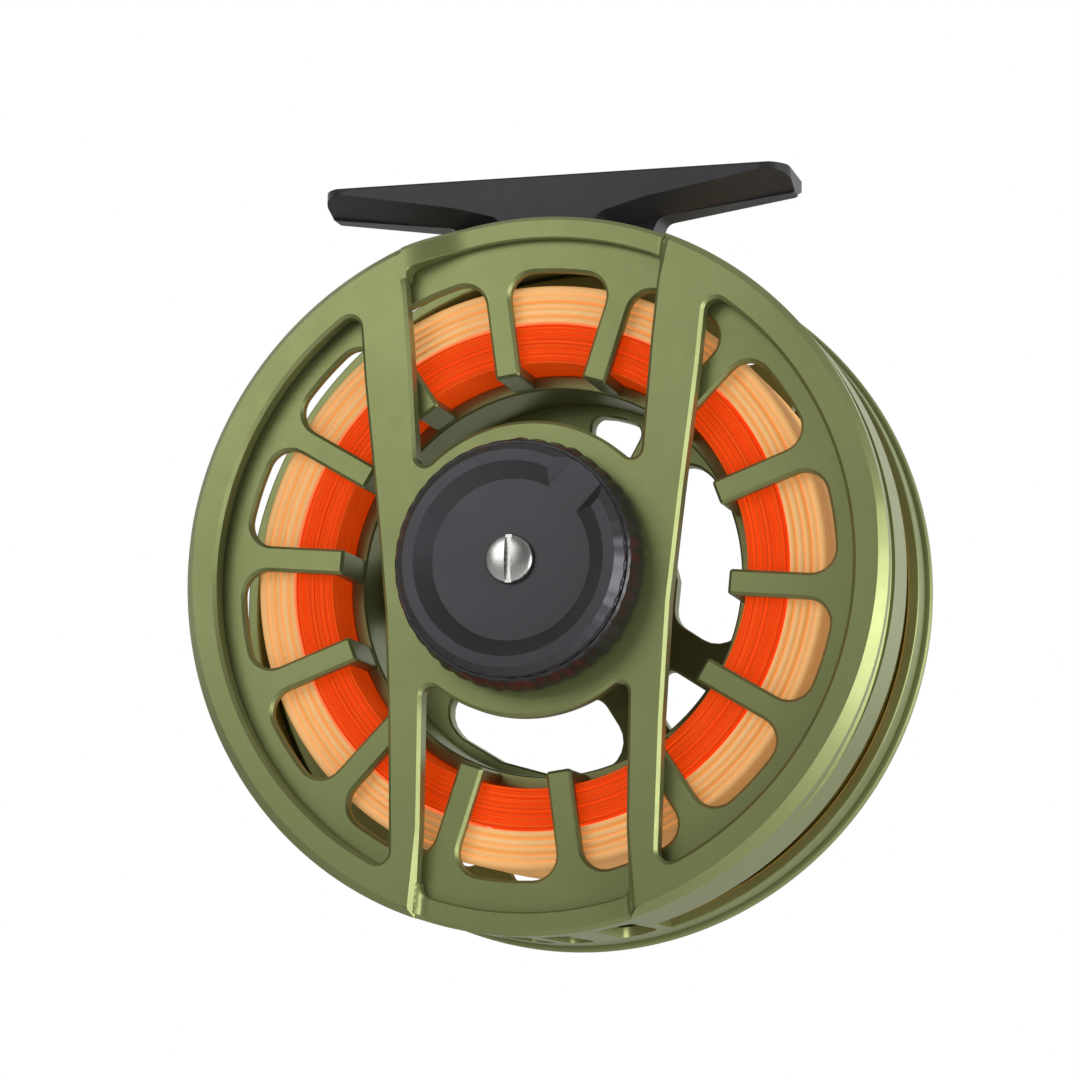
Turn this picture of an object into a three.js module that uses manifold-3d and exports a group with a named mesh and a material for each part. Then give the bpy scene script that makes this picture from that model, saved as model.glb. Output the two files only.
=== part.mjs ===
// A large-arbor fly reel: caged frame on a rod foot, spool with wound line, sealed disc drag.
// Everything is modelled about the reel's own axis, which runs along Y: the drag knob is on the
// -Y side, the winding handle on the +Y side. The whole reel then hangs from its foot, whose
// flat top is the origin, with +Z up and the foot's length along X.
import * as THREE from 'three';
import { mergeVertices } from 'three/addons/utils/BufferGeometryUtils.js';
import Module from 'manifold-3d';

const wasm = await Module();
wasm.setup();

// ---- driving dimensions, millimetres; a pair is [inner, outer] radius or [near, far] y --------
const GAP = 0.3;                 // clearance between neighbouring pieces
const LAP = 0.2;                 // how far two joined volumes run into each other
const PAST = 2;                  // how far a cutter runs past what it cuts
const FRAME_SEG = 48;            // steps round the frame
const SPOOL_SEG = 42;            // steps round the spool and the line
const DRAG_SEG = 24;             // steps round the drag's rings
const POST_SEG = 20;             // steps round posts, heads, the handle and its bushes
const PIN_SEG = 12;              // steps round screws and pins
const THIN_SEG = 10;             // steps round the thinnest shanks

// Frame.
const frameR = 48;               // outer radius
const faceChamfer = 0.9;         // bevel round the near face
const faceInnerR = 43.5;         // inside edge of the face ring
const faceT = 2.7;               // thickness of face ring, bars and hub plate
const wallInnerR = 46.6;         // inside of the side wall
const nearWallEnd = 15;          // far edge of the near wall
const wallChamfer = 0.6;
const frontRingR = [46.4, 48];
const frontRingY = [24, 28.6];
const archDrop = 1.9;            // how far the arches between the bars are milled down
const archInnerR = 44.9;
const archHalf = 22.5;           // half angle of an arch, degrees
const bridgeHalf = 17.5;         // half angle of the bridges that tie the two rings
const slotSpans = [[-13.2, -8.2], [-4.6, -0.8], [0.8, 4.6], [8.2, 13.2]];   // along the bridge
const slotY = [5.5, 21.5];
const hubR = 19.7;               // hub plate
const barOuter = [[24.0, 36.4], [23.0, 26], [21.0, 9.5], [19.4, -5], [18.6, -20], [18.1, -38]];
const barInner = [
  [18.4, 46], [17.4, 38], [16.6, 30], [15.5, 16], [14.1, -16], [14.0, -34], [14.6, -47],
];

// Foot.
const footTop = 55.4;            // height of the flat top above the reel's axis
const footY = 15;                // centre of the foot across the reel
const footLength = 66;
const footWidth = 14;
const footEndR = 4;              // rounding of the ends, seen from above
const footTipZ = 52.4;           // underside at the tips
const footRootZ = 49.9;          // underside where the wings meet the pedestal
const pedestalHalf = [12.6, 14.5];   // half lengths at the frame and at the wings
const keelHalf = 2.2;            // half width of the ridge under each wing
const keelTilt = 21;             // degrees that the underside rises beside the ridge
const keelPivotZ = 50;           // height about which the flank cuts are tilted
const flankCut = [[6.4, 44], [6.4, 47.6], [13.6, 49.7], [34, 52.5], [34, 44]];   // [x, z]
const footScrewX = 5;
const footScrewR = [1.1, 2.7];   // shank and head
const footScrewZ = [46.3, 46.8, 52.2];   // bottom of the head, top of the head, tip

// Spool.
const spokes = 14;
const spokePhase = -4.5;         // degrees from +X to the first spoke
const spokeW = 3.4;
const windowR = [24, 40.7];      // openings between spokes, from inside the arbor outwards
const windowFillet = 3.2;
const windowCrown = 1.012;       // middle of a window's outer edge, as a share of its radius
const windowFoot = 0.5;          // from the arbor to the windows' inner edges
const ribReach = 1.2;            // the gaps between the ribs run this far past the arbor
const farWindowR = 31.2;         // inner edge of the far flange's windows
const farWindowFillet = 2.6;
const flangeR = 45.9;
const nearFlange = [3.3, 5.0];
const farFlange = [26.6, 28.4];
const arborR = [26.3, 28.3];
const drumStart = 12;            // the arbor is open between its ribs up to here
const rimR = [44.5, 48.8];       // palming rim
const rimY = [29.0, 31.4];
const rimCrown = 0.6;
const rimShoulder = 0.4;         // the rim starts this far behind the far flange's near face
const webY = [22.8, 25.6];
const webLap = 0.5;              // how far the web runs into the arbor
const webGroups = 3;
const webPhase = -45;            // centre of the first narrow opening, degrees
const wideOpening = { r: [15, 25], half: 38, fillet: 4.2, steps: 5 };
const narrowOpening = { r: [17.5, 25], half: 9, fillet: 1.6, steps: 2 };
const webInnerShare = 0.82;      // an opening's inner half angle as a share of its outer one
const webPointShare = 0.97;      // middle of its inner edge, as a share of its inner radius
const backingR = [28.6, 33.9];
const flyLineR = [34.2, 39.2];
const packY = [5.3, 26.3];
const capR = 13;
const capY = [27.6, 31.2];
const capBevel = [1.4, 0.7, 1.2];   // across both faces, along the near and the far edge

// Handle.
const handleSpoke = 2;           // the handle stands over this spoke
const weightSpoke = handleSpoke + spokes / 2;
const handleR = 36;
const bossR = 5.6;               // pads on the far flange under the handle and the counterweight
const postR = 3.6;               // short post that the handle turns on
const postEnd = 31.6;
const handleScrewR = [1.5, 3.0]; // shank and head
const handleScrewY = [27, 53.5, 54.6];   // start, head, end
const bushR = [1.8, 2.9];
const bushes = [[32.6, 36], [48, 52]];
const handleProfile = [          // [radius, y], from its near end to the screw head's recess
  [4.9, 32.2], [5.6, 32.8], [6.0, 36], [5.7, 41], [5.9, 46], [6.7, 51], [6.7, 53.4], [5.7, 54.8],
  [3.5, 54.8], [3.5, 53.2],
];
const weightR = 4.2;
const weightEnd = 31.2;

// Drag knob.
const knobR = 15.4;
const gripR = 16.8;              // ridged grip ring round the knob
const gripDepth = 0.45;
const gripRidges = 18;
const gripNear = -6.6;
const knobY = [-8.3, -0.6];
const knobBevel = 0.9;
const knobInside = [12.6, -5.4]; // radius and floor of the hollow that holds the cam ring
const recessR = [10.6, 12.8];    // recess floor and the top of its bevel
const recessFloor = -6.8;
const notchW = 5;                // finger notch through the knob's raised rim
const notchInner = 9.4;
const notchAngle = 48;
const knobScrewR = [1.5, 3.2];   // shank and head
const knobScrewShoulderR = 2.2;  // where the domed head turns over
const knobScrewRise = [0.4, 1.0, 1.3];   // of the head's edge, shoulder and middle
const knobScrewTip = -1.6;
const screwSlotHalf = 0.4;
const screwSlotFloor = 0.6;      // above the head's seat

// Drag, outwards from the spindle.
const spindleR = 3.0;
const spindleFlange = [6.0, 3.0, 4.2];   // radius, near y, far y
const spindleY = [-5.1, 25.9];
const spindleHoles = [-1.2, 20]; // floors of the holes for the knob screw and the end screw
const spindleScrewR = [1.2, 4.6];        // shank and head
const spindleScrewY = [21, 26.2, 27.2];  // tip, neck, head
const nutR = 5.6;
const nutY = [-2.9, -GAP];
const bearingR = [spindleR + GAP, 6.0];
const rotorR = [bearingR[1] + GAP, 8.0];
const sleeveR = [rotorR[1] + GAP, 9.2];
const clutchR = [sleeveR[1] + GAP, 11.5];
const spoolBossR = [clutchR[1] + GAP, 13.8];
const spoolBossY = [15, 27];
const discR = 13.1;
const housingR = [discR + 0.4, 15.0];
const housingY = [3.0, 14.5];
const housingFloor = 5.6;
const housingInnerR = 11.6;
const rotorDisc = [10.2, 11.2];
const rotorEnd = 26.0;
const pinCircle = 9.3;
const pinR = 1.0;
const pinY = [-0.9, 3.1];
const washerR = [7.4, 11.1];
const washerT = 0.45;
const washerCone = 0.35;         // rise of a spring washer from its inner to its outer edge
const washerY = [4.5, 5.5];
const pinAngle = 90;             // of the first push pin
const housingScrewAngle = 30;    // of the first housing screw
const housingScrewR = [0.9, 1.6];        // shank and head
const housingScrewY = [0.2, 1.2, 4.7];   // head, neck, tip

// Plain rings of the drag, [[inner, outer] radius, [near, far] y].
const coverRing = [[10.1, 13.2], [12.7, 14.2]];
const sealRing = [[sleeveR[0], 9.8], [12.9, 13.9]];
const frictionRings = [[[8.4, 13.2], [9.0, 9.9]], [[8.4, 13.2], [11.5, 12.4]]];
const camRing = [[7.2, 11.4], [-5.1, -1.3]];
const pushRing = [[7.0, 11.2], [3.4, 4.2]];
const plateRing = [[8.4, discR], [6.9, 8.1]];
const rearBearing = [bearingR, [12, 16]];
const frontBearing = [bearingR, [21.5, 25.5]];
const sleeveRing = [sleeveR, [15.5, 25.7]];
const clutchRing = [clutchR, [16.5, 23]];
const latchRing = [[9.7, 10.6], [24.2, 25.1]];

// ---- helpers ---------------------------------------------------------------------------------
const rad = (degrees) => degrees * Math.PI / 180;
const polar = (r, degrees) => [r * Math.cos(rad(degrees)), r * Math.sin(rad(degrees))];
const third = (k, start) => start + 120 * k;

function signedVolume(p, tris) {
  let sum = 0;
  for (let i = 0; i < tris.length; i += 3) {
    const [a, b, c] = [tris[i] * 3, tris[i + 1] * 3, tris[i + 2] * 3];
    sum += p[a] * (p[b + 1] * p[c + 2] - p[b + 2] * p[c + 1]);
    sum -= p[a + 1] * (p[b] * p[c + 2] - p[b + 2] * p[c]);
    sum += p[a + 2] * (p[b] * p[c + 1] - p[b + 1] * p[c]);
  }
  return sum;
}

// A closed three.js geometry as a solid, with its faces turned outwards.
function solid(geometry) {
  geometry.deleteAttribute('normal');
  geometry.deleteAttribute('uv');
  const merged = mergeVertices(geometry, 1e-4);
  const positions = merged.attributes.position.array;
  const raw = merged.index.array;
  const kept = [];
  for (let i = 0; i < raw.length; i += 3) {
    const [a, b, c] = [raw[i], raw[i + 1], raw[i + 2]];
    if (a !== b && b !== c && a !== c) kept.push(a, b, c);
  }
  if (signedVolume(positions, kept) < 0) {
    for (let i = 0; i < kept.length; i += 3) [kept[i], kept[i + 1]] = [kept[i + 1], kept[i]];
  }
  const triVerts = Uint32Array.from(kept);
  return new wasm.Manifold(new wasm.Mesh({ numProp: 3, vertProperties: positions, triVerts }));
}

// A solid turned about the reel's axis from [radius, y] corners.
function turned(profile, segments) {
  const points = profile.map(([r, y]) => new THREE.Vector2(r, y));
  const onAxis = profile[0][0] === 0 && profile[profile.length - 1][0] === 0;
  if (!onAxis) points.push(points[0].clone());
  return solid(new THREE.LatheGeometry(points, segments));
}

function ring([r0, r1], [y0, y1], segments) {
  return turned([[r0, y0], [r1, y0], [r1, y1], [r0, y1]], segments);
}

function disc(r, [y0, y1], segments) {
  return ring([0, r], [y0, y1], segments);
}

function pin([x, z], r, span, segments = PIN_SEG) {
  return disc(r, span, segments).translate([x, 0, z]);
}

// An upright round post at the foot, from z0 to z1.
function post(x, r, z0, z1) {
  const geometry = new THREE.CylinderGeometry(r, r, z1 - z0, PIN_SEG);
  geometry.rotateX(Math.PI / 2);
  geometry.translate(x, footY, (z0 + z1) / 2);
  return solid(geometry);
}

// An outline drawn in x and z, given thickness from y0 to y1.
function slab(shape, [y0, y1]) {
  const geometry = new THREE.ExtrudeGeometry(shape, { depth: y1 - y0, bevelEnabled: false });
  geometry.rotateX(Math.PI / 2);
  geometry.translate(0, y1, 0);
  return solid(geometry);
}

function outline(corners) {
  return new THREE.Shape(corners.map(([x, z]) => new THREE.Vector2(x, z)));
}

function rectangle(x0, z0, x1, z1) {
  return outline([[x0, z0], [x1, z0], [x1, z1], [x0, z1]]);
}

// A polygon whose corners are rounded by the given radii.
function rounded(corners, radii, steps) {
  const points = [];
  const count = corners.length;
  corners.forEach((corner, i) => {
    const here = new THREE.Vector2(...corner);
    if (radii[i] === 0) {
      points.push(here);
      return;
    }
    const before = new THREE.Vector2(...corners[(i + count - 1) % count]).sub(here).normalize();
    const after = new THREE.Vector2(...corners[(i + 1) % count]).sub(here).normalize();
    const half = Math.acos(THREE.MathUtils.clamp(before.dot(after), -1, 1)) / 2;
    const reach = radii[i] / Math.tan(half);
    const towards = before.clone().add(after).normalize();
    const centre = here.clone().add(towards.multiplyScalar(radii[i] / Math.sin(half)));
    const start = here.clone().add(before.multiplyScalar(reach)).sub(centre).angle();
    const end = here.clone().add(after.multiplyScalar(reach)).sub(centre).angle();
    const sweep = THREE.MathUtils.euclideanModulo(end - start + Math.PI, 2 * Math.PI) - Math.PI;
    for (let k = 0; k <= steps; k += 1) {
      const angle = start + sweep * k / steps;
      const point = new THREE.Vector2(Math.cos(angle), Math.sin(angle));
      points.push(point.multiplyScalar(radii[i]).add(centre));
    }
  });
  return new THREE.Shape(points);
}

// The part of a ring between two angles.
function wedge([r0, r1], [from, to], span, steps = 8) {
  const angle = (k) => from + (to - from) * k / steps;
  const corners = [];
  for (let k = 0; k <= steps; k += 1) corners.push(polar(r1, angle(k)));
  for (let k = steps; k >= 0; k -= 1) corners.push(polar(r0, angle(k)));
  return slab(outline(corners), span);
}

const around = (centre, half) => [centre - half, centre + half];

const looks = {
  green: { color: '#8b945f', roughness: 0.42, metalness: 0.75 },
  foot: { color: '#3c3d41', roughness: 0.5, metalness: 0.6 },
  steel: { color: '#b5b4b2', roughness: 0.28, metalness: 1.0 },
  knob: { color: '#4a494d', roughness: 0.45, metalness: 0.5 },
  black: { color: '#121214', roughness: 0.4, metalness: 0.0 },
  carbon: { color: '#26262a', roughness: 0.6, metalness: 0.1 },
  rubber: { color: '#1a1a1c', roughness: 0.8, metalness: 0.0 },
  peach: { color: '#f2b47c', roughness: 0.6, metalness: 0.0 },
  orange: { color: '#ee3d06', roughness: 0.75, metalness: 0.0 },
  brass: { color: '#b69450', roughness: 0.35, metalness: 0.9 },
};

const reel = new THREE.Group();
reel.position.set(0, -footY, -footTop);

function add(name, body, look) {
  const { vertProperties, triVerts } = body.getMesh();
  const geometry = new THREE.BufferGeometry();
  geometry.setAttribute('position', new THREE.BufferAttribute(vertProperties, 3));
  geometry.setIndex(new THREE.BufferAttribute(triVerts, 1));
  geometry.computeVertexNormals();
  const mesh = new THREE.Mesh(geometry, new THREE.MeshStandardMaterial(looks[look]));
  mesh.name = name;
  reel.add(mesh);
}

// ---- frame: one machined cage ------------------------------------------------------------------
function nearShell() {
  return turned([
    [faceInnerR, 0], [frameR - faceChamfer, 0], [frameR, faceChamfer],
    [frameR, nearWallEnd - wallChamfer], [frameR - wallChamfer, nearWallEnd],
    [wallInnerR, nearWallEnd], [wallInnerR, faceT], [faceInnerR, faceT],
  ], FRAME_SEG);
}

// One of the two upright bars, trimmed to the face ring's bevel.
function bar(side) {
  const edge = [...barOuter, ...barInner.toReversed()].map(([x, z]) => [side * x, z]);
  return slab(outline(edge), [0, faceT]).intersect(disc(frameR - faceChamfer, [0, faceT], FRAME_SEG));
}

// An arch between the bars keeps its outline but loses the front of its face.
function archCut(centre) {
  const angles = around(centre, archHalf);
  const front = wedge([archInnerR - PAST, frameR + PAST], angles, [-PAST, archDrop]);
  return front.add(wedge([faceInnerR - PAST, archInnerR], angles, [-PAST, faceT + PAST]));
}

function bridge(centre) {
  return wedge([wallInnerR, frameR], around(centre, bridgeHalf), [archDrop, frontRingY[1]]);
}

// A lightening slot through the lower bridge, between two distances from its middle.
function bridgeSlot(span) {
  const angles = span.map((x) => x / rad(frameR) - 90);
  return wedge([wallInnerR - PAST, frameR + PAST], angles, slotY, 2);
}

function frame() {
  let body = nearShell();
  for (const centre of [90, -90]) body = body.subtract(archCut(centre));
  for (const side of [1, -1]) body = body.add(bar(side));
  for (const centre of [90, -90]) body = body.add(bridge(centre));
  body = body.add(disc(hubR, [0, faceT], FRAME_SEG));
  body = body.add(ring(frontRingR, frontRingY, FRAME_SEG));
  for (const span of slotSpans) body = body.subtract(bridgeSlot(span));
  body = body.subtract(disc(bearingR[0], [-PAST, faceT + PAST], DRAG_SEG));
  for (const x of [-footScrewX, footScrewX]) {
    body = body.subtract(post(x, footScrewR[0] + GAP, wallInnerR - PAST, frameR + PAST));
    body = body.subtract(post(x, footScrewR[1] + GAP, wallInnerR - PAST, footScrewZ[1] + LAP));
  }
  const through = [-PAST, faceT + PAST];
  const [shankR, headR] = housingScrewR;
  for (let k = 0; k < 3; k += 1) {
    const screwAt = polar(discR, third(k, housingScrewAngle));
    body = body.subtract(pin(polar(pinCircle, third(k, pinAngle)), pinR + GAP, through));
    body = body.subtract(pin(screwAt, shankR + GAP, through));
    body = body.subtract(pin(screwAt, headR + GAP, [-PAST, housingScrewY[1] + GAP]));
  }
  return body;
}

// ---- foot --------------------------------------------------------------------------------------
// The cut beside the ridge under one wing, tilted so that it deepens towards the foot's edge.
function underCut(side, end) {
  const below = outline(flankCut.map(([x, z]) => [end * x, z]));
  const reach = side * footWidth;
  const cut = slab(below, [Math.min(0, reach), Math.max(0, reach)]).translate([0, 0, -keelPivotZ]);
  return cut.rotate([side * keelTilt, 0, 0]).translate([0, footY + side * keelHalf, keelPivotZ]);
}

function foot() {
  const [half, w] = [footLength / 2, footWidth / 2];
  const [saddle, root] = pedestalHalf;
  const side = outline([
    [-half, footTop], [-half, footTipZ], [-root, footRootZ], [-saddle, wallInnerR - PAST],
    [saddle, wallInnerR - PAST], [root, footRootZ], [half, footTipZ], [half, footTop],
  ]);
  const corners = [[-half, -w], [half, -w], [half, w], [-half, w]];
  const plan = rounded(corners, corners.map(() => footEndR), 3);
  const upright = new THREE.ExtrudeGeometry(plan, { depth: footTop, bevelEnabled: false });
  upright.translate(0, footY, PAST);
  let body = slab(side, [footY - w, footY + w]).intersect(solid(upright));
  for (const [across, along] of [[-1, -1], [-1, 1], [1, -1], [1, 1]]) {
    body = body.subtract(underCut(across, along));
  }
  body = body.subtract(disc(frameR + GAP, [0, frontRingY[1]], FRAME_SEG));
  for (const x of [-footScrewX, footScrewX]) {
    body = body.subtract(post(x, footScrewR[0] + GAP, wallInnerR, footScrewZ[2] + GAP));
  }
  return body;
}

function footScrew(x) {
  const [bottom, neck, tip] = footScrewZ;
  return post(x, footScrewR[1], bottom, neck).add(post(x, footScrewR[0], neck - LAP, tip));
}

// ---- spool -------------------------------------------------------------------------------------
// One window between two spokes; its sides run parallel to the spokes.
function windowShape(index, [r0, r1], fillet) {
  const a = spokePhase + 360 / spokes * index;
  const b = a + 360 / spokes;
  const beside = (r, degrees, side) => {
    const [x, z] = polar(r, degrees);
    const [nx, nz] = polar(side * spokeW / 2, degrees + 90);
    return [x + nx, z + nz];
  };
  const crown = polar(r1 * windowCrown, (a + b) / 2);
  const corners = [beside(r0, a, 1), beside(r1, a, 1), crown, beside(r1, b, -1), beside(r0, b, -1)];
  return rounded(corners, [0, fillet, 0, fillet, 0], 1);
}

// An opening in the web: an arc outside, a shallow point inside, four rounded corners.
function webOpening(centre, { r: [r0, r1], half, fillet, steps }) {
  const innerHalf = half * webInnerShare;
  const corners = [polar(r0, centre - innerHalf)];
  for (let k = 0; k <= steps; k += 1) {
    corners.push(polar(r1, centre - half + 2 * half * k / steps));
  }
  corners.push(polar(r0, centre + innerHalf), polar(r0 * webPointShare, centre));
  const last = corners.length - 1;
  const radii = corners.map((_, i) => ([0, 1, last - 2, last - 1].includes(i) ? fillet : 0));
  return rounded(corners, radii, 2);
}

function overSpoke(index) {
  return polar(handleR, spokePhase + 360 / spokes * index);
}

function nearFlangeAndArbor() {
  let flange = ring([arborR[0], flangeR], nearFlange, SPOOL_SEG);
  let arbor = ring(arborR, [nearFlange[1] - LAP, farFlange[0] + LAP], SPOOL_SEG);
  for (let k = 0; k < spokes; k += 1) {
    const window = windowShape(k, [arborR[1] + windowFoot, windowR[1]], windowFillet);
    const ribGap = windowShape(k, [windowR[0], arborR[1] + ribReach], 0);
    const betweenRibs = slab(ribGap, [0, drumStart]);
    flange = flange.subtract(slab(window, [0, nearFlange[1] + PAST])).subtract(betweenRibs);
    arbor = arbor.subtract(betweenRibs);
  }
  return flange.add(arbor);
}

function farFlangeAndRim() {
  let flange = ring([arborR[0], flangeR], farFlange, SPOOL_SEG);
  for (let k = 0; k < spokes; k += 1) {
    const window = windowShape(k, [farWindowR, windowR[1]], farWindowFillet);
    flange = flange.subtract(slab(window, [farFlange[0] - PAST, farFlange[1] + PAST]));
  }
  const shoulder = farFlange[0] + rimShoulder;
  const [inside, outside] = rimR;
  return flange.add(turned([
    [inside, shoulder], [flangeR, shoulder], [flangeR, rimY[0]], [outside - rimCrown, rimY[0]],
    [outside, (rimY[0] + rimY[1]) / 2], [outside - rimCrown, rimY[1]], [inside, rimY[1]],
  ], SPOOL_SEG));
}

function web() {
  let body = ring([spoolBossR[0], arborR[0] + webLap], webY, SPOOL_SEG);
  const depth = [webY[0] - PAST, webY[1] + PAST];
  for (let k = 0; k < webGroups; k += 1) {
    const narrow = third(k, webPhase);
    body = body.subtract(slab(webOpening(narrow + 180 / webGroups, wideOpening), depth));
    body = body.subtract(slab(webOpening(narrow, narrowOpening), depth));
  }
  return body.add(ring(spoolBossR, spoolBossY, DRAG_SEG));
}

function spool() {
  let body = nearFlangeAndArbor().add(farFlangeAndRim()).add(web());
  for (const spoke of [handleSpoke, weightSpoke]) {
    body = body.add(pin(overSpoke(spoke), bossR, farFlange, POST_SEG));
  }
  const handleAt = overSpoke(handleSpoke);
  body = body.add(pin(handleAt, postR, [farFlange[0], postEnd], POST_SEG));
  return body.subtract(pin(handleAt, bushR[0], [farFlange[0] - PAST, postEnd + PAST]));
}

function spoolCap() {
  const [y0, y1] = capY;
  const [across, near, far] = capBevel;
  return turned([
    [0, y0], [capR - across, y0], [capR, y0 + near], [capR, y1 - far], [capR - across, y1], [0, y1],
  ], DRAG_SEG);
}

// ---- drag knob ---------------------------------------------------------------------------------
function dragKnob() {
  const [hollowR, hollowFloor] = knobInside;
  const boreR = knobScrewR[0] + GAP;
  const body = turned([
    [boreR, recessFloor], [recessR[0], recessFloor], [recessR[1], knobY[0]],
    [knobR - knobBevel, knobY[0]], [knobR, knobY[0] + knobBevel], [knobR, knobY[1]],
    [hollowR, knobY[1]], [hollowR, hollowFloor], [boreR, hollowFloor],
  ], FRAME_SEG);
  const notch = rectangle(notchInner, -notchW / 2, gripR + PAST, notchW / 2);
  return body.subtract(slab(notch, [knobY[0] - PAST, recessFloor]).rotate([0, -notchAngle, 0]));
}

function gripRing() {
  const corners = [];
  for (let k = 0; k < gripRidges * 2; k += 1) {
    corners.push(polar(gripR - gripDepth * (k % 2), 180 / gripRidges * k));
  }
  const hole = disc(knobR + GAP, [gripNear - PAST, PAST], FRAME_SEG);
  return slab(outline(corners), [gripNear, knobY[1]]).subtract(hole);
}

function knobScrew() {
  const [shankR, headR] = knobScrewR;
  const seat = recessFloor - GAP;
  const [edge, shoulder, top] = knobScrewRise.map((rise) => seat - rise);
  const head = turned([
    [0, seat], [headR, seat], [headR, edge], [knobScrewShoulderR, shoulder], [0, top],
  ], POST_SEG);
  const across = rectangle(-screwSlotHalf, -headR - PAST, screwSlotHalf, headR + PAST);
  const slot = slab(across, [top - PAST, seat - screwSlotFloor]);
  return head.subtract(slot).add(disc(shankR, [seat - LAP, knobScrewTip], PIN_SEG));
}

// ---- drag --------------------------------------------------------------------------------------
function spindle() {
  const [flange, y0, y1] = spindleFlange;
  const [start, end] = spindleY;
  const body = turned([
    [0, start], [spindleR, start], [spindleR, y0], [flange, y0], [flange, y1], [spindleR, y1],
    [spindleR, end], [0, end],
  ], POST_SEG);
  const [knobHoleFloor, endHoleFloor] = spindleHoles;
  const knobHole = disc(knobScrewR[0] + GAP, [start - PAST, knobHoleFloor], PIN_SEG);
  const endHole = disc(spindleScrewR[0] + GAP, [endHoleFloor, end + PAST], PIN_SEG);
  return body.subtract(knobHole).subtract(endHole);
}

function spindleNut() {
  const corners = Array.from({ length: 6 }, (_, k) => polar(nutR, 60 * k));
  const hole = disc(bearingR[0], [nutY[0] - PAST, PAST], PIN_SEG);
  return slab(outline(corners), nutY).subtract(hole);
}

function housing() {
  const [inner, outer] = housingR;
  const [start, end] = housingY;
  let body = turned([
    [housingInnerR, start], [outer, start], [outer, end], [inner, end], [inner, housingFloor],
    [housingInnerR, housingFloor],
  ], DRAG_SEG);
  for (let k = 0; k < 3; k += 1) {
    const place = polar(discR, third(k, housingScrewAngle));
    const depth = [start - PAST, housingScrewY[2] + GAP];
    body = body.subtract(pin(place, housingScrewR[0] + GAP, depth));
  }
  return body;
}

function housingScrew(k) {
  const place = polar(discR, third(k, housingScrewAngle));
  const [shankR, headR] = housingScrewR;
  const [head, neck, tip] = housingScrewY;
  return pin(place, headR, [head, neck]).add(pin(place, shankR, [neck - LAP, tip], THIN_SEG));
}

function rotor() {
  const [inner, outer] = rotorR;
  const [y0, y1] = rotorDisc;
  return turned([
    [inner, y0], [discR, y0], [discR, y1], [outer, y1], [outer, rotorEnd], [inner, rotorEnd],
  ], DRAG_SEG);
}

function springWasher(y) {
  const [inner, outer] = washerR;
  return turned([
    [inner, y], [outer, y + washerCone], [outer, y + washerCone + washerT], [inner, y + washerT],
  ], DRAG_SEG);
}

function spindleScrew() {
  const [shankR, headR] = spindleScrewR;
  const [tip, neck, head] = spindleScrewY;
  return disc(headR, [neck, head], POST_SEG).add(disc(shankR, [tip, neck + LAP], THIN_SEG));
}

// ---- handle ------------------------------------------------------------------------------------
function onSpoke(body, spoke) {
  const [x, z] = overSpoke(spoke);
  return body.translate([x, 0, z]);
}

function handleKnob() {
  const boreR = bushR[1] + GAP;
  const start = handleProfile[0][1];
  const end = handleProfile[handleProfile.length - 1][1];
  return turned([[boreR, start], ...handleProfile, [boreR, end]], POST_SEG);
}

function handleScrew() {
  const [shankR, headR] = handleScrewR;
  const [start, head, end] = handleScrewY;
  return disc(shankR, [start, head + LAP], THIN_SEG).add(disc(headR, [head, end], POST_SEG));
}

function counterweight() {
  return disc(weightR, [farFlange[1] + GAP, weightEnd], POST_SEG);
}

// ---- assembly ----------------------------------------------------------------------------------
add('frame', frame(), 'green');
add('reel_foot', foot(), 'foot');
add('foot_screw_1', footScrew(-footScrewX), 'steel');
add('foot_screw_2', footScrew(footScrewX), 'steel');

add('spindle', spindle(), 'steel');
add('spindle_nut', spindleNut(), 'steel');
add('spindle_screw', spindleScrew(), 'steel');
add('drag_housing', housing(), 'black');
for (let k = 0; k < 3; k += 1) add(`housing_screw_${k + 1}`, housingScrew(k), 'steel');
add('drag_cover', ring(...coverRing, DRAG_SEG), 'black');
add('drag_seal', ring(...sealRing, DRAG_SEG), 'rubber');
frictionRings.forEach((size, k) => {
  add(`friction_disc_${k + 1}`, ring(...size, DRAG_SEG), 'carbon');
});

add('drag_knob', dragKnob(), 'knob');
add('knob_grip_ring', gripRing(), 'black');
add('knob_screw', knobScrew(), 'steel');
add('cam_ring', ring(...camRing, DRAG_SEG), 'brass');

add('push_ring', ring(...pushRing, DRAG_SEG), 'steel');
for (let k = 0; k < 3; k += 1) {
  const place = polar(pinCircle, third(k, pinAngle));
  add(`push_pin_${k + 1}`, pin(place, pinR, pinY, THIN_SEG), 'steel');
}
washerY.forEach((y, k) => add(`spring_washer_${k + 1}`, springWasher(y), 'steel'));
add('pressure_plate', ring(...plateRing, DRAG_SEG), 'steel');

add('drag_rotor', rotor(), 'steel');
add('bearing_rear', ring(...rearBearing, DRAG_SEG), 'steel');
add('bearing_front', ring(...frontBearing, DRAG_SEG), 'steel');

add('clutch_sleeve', ring(...sleeveRing, DRAG_SEG), 'brass');

add('spool', spool(), 'green');
add('one_way_clutch', ring(...clutchRing, DRAG_SEG), 'steel');
add('latch_ring', ring(...latchRing, DRAG_SEG), 'steel');
add('spool_cap', spoolCap(), 'green');
add('backing_line', ring(backingR, packY, SPOOL_SEG), 'orange');
add('fly_line', ring(flyLineR, packY, SPOOL_SEG), 'peach');
add('counterweight', onSpoke(counterweight(), weightSpoke), 'steel');
add('handle_screw', onSpoke(handleScrew(), handleSpoke), 'steel');

add('handle_knob', onSpoke(handleKnob(), handleSpoke), 'black');
bushes.forEach((span, k) => {
  add(`handle_bush_${k + 1}`, onSpoke(ring(bushR, span, POST_SEG), handleSpoke), 'brass');
});

export default reel;
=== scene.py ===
import math
import random

import bmesh
import bpy
from mathutils import Matrix, Vector
from mathutils.geometry import tessellate_polygon


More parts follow.
